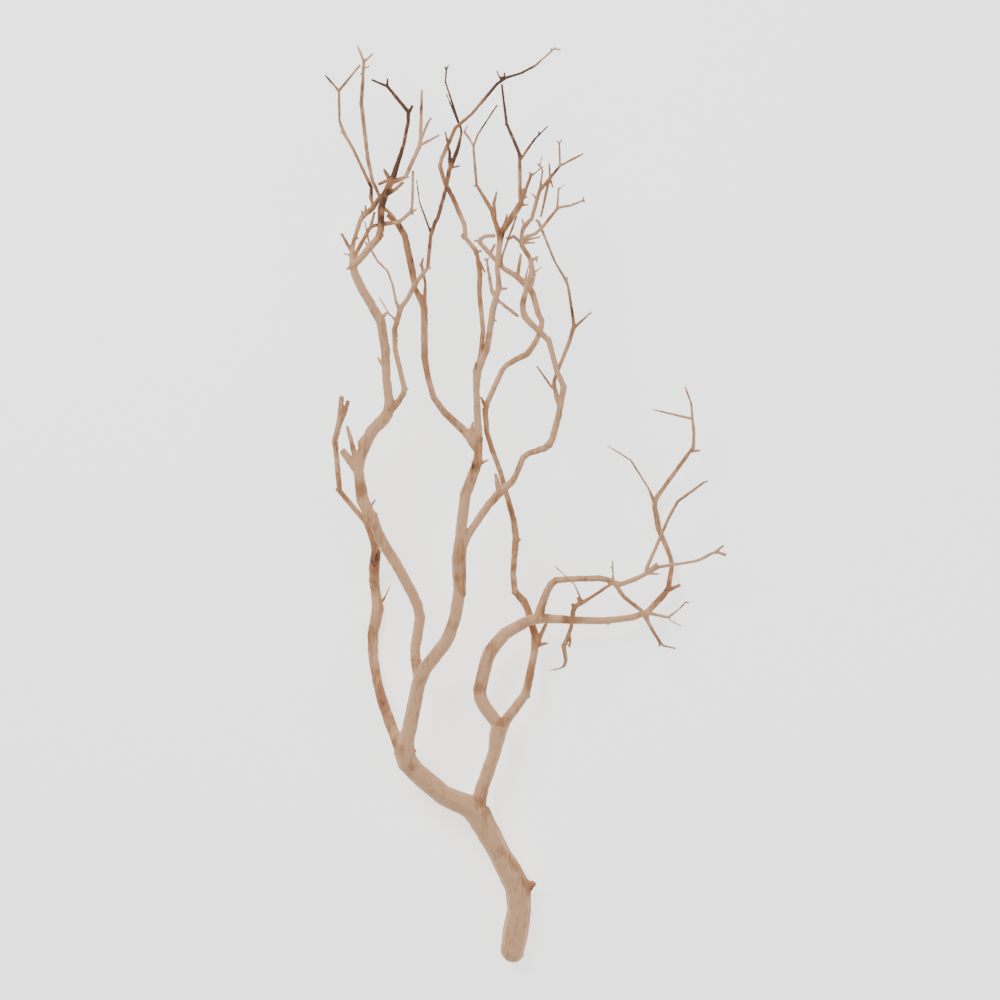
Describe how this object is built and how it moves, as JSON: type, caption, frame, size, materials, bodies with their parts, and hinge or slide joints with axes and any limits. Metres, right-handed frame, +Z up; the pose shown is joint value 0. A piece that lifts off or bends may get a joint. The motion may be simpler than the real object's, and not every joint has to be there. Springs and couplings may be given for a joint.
{
  "type": "dried manzanita branch",
  "caption": "Cut, dried and sandblasted manzanita branch lying down: a crooked butt that forks into winding limbs and fine curling twigs.",
  "frame": {"origin": "under the middle of the branch's box, on the surface that the branch lies on", "axes": "+Y from the cut butt towards the twig tips, +X to the right as seen from above, +Z up"},
  "size_m": [0.3978, 0.9098, 0.131],
  "materials": {
    "pale_wood": "dry, sandblasted, matte",
    "tan_wood": "dry, sandblasted, matte",
    "dark_wood": "dry bark left on, matte"
  },
  "bodies": {
    "root": {"trunk": "pale_wood", "main_bough": "pale_wood", "right_limb": "pale_wood", "arch_limb": "pale_wood", "left_stem": "pale_wood", "left_crown_pale_tip": "pale_wood", "inner_stem": "pale_wood", "centre_stem_lower": "pale_wood", "centre_stem_upper": "pale_wood", "right_arm": "pale_wood", "right_crown_side_twig": "pale_wood", "ring_arm": "pale_wood", "right_lower_limb": "pale_wood", "right_upper_limb": "pale_wood", "looping_stem": "pale_wood", "rear_limb": "tan_wood", "outer_left_twig": "tan_wood", "left_crown_limb": "tan_wood", "hub_twig_long": "tan_wood", "hub_twig_right": "tan_wood", "leaning_twig": "tan_wood", "tall_twig": "tan_wood", "spotted_stem": "tan_wood", "long_curved_twig": "tan_wood", "crown_left_twig": "tan_wood", "crown_middle_twig": "tan_wood", "right_arm_side_twig": "tan_wood", "right_crown_twig": "tan_wood", "far_right_limb": "tan_wood", "right_tip_twig": "tan_wood", "crossing_twig": "tan_wood", "hanging_twig": "tan_wood", "under_stem": "tan_wood", "left_crown_dark_tip": "dark_wood", "inner_stem_top": "dark_wood", "drop_twig": "dark_wood"}
  },
  "joints": []
}
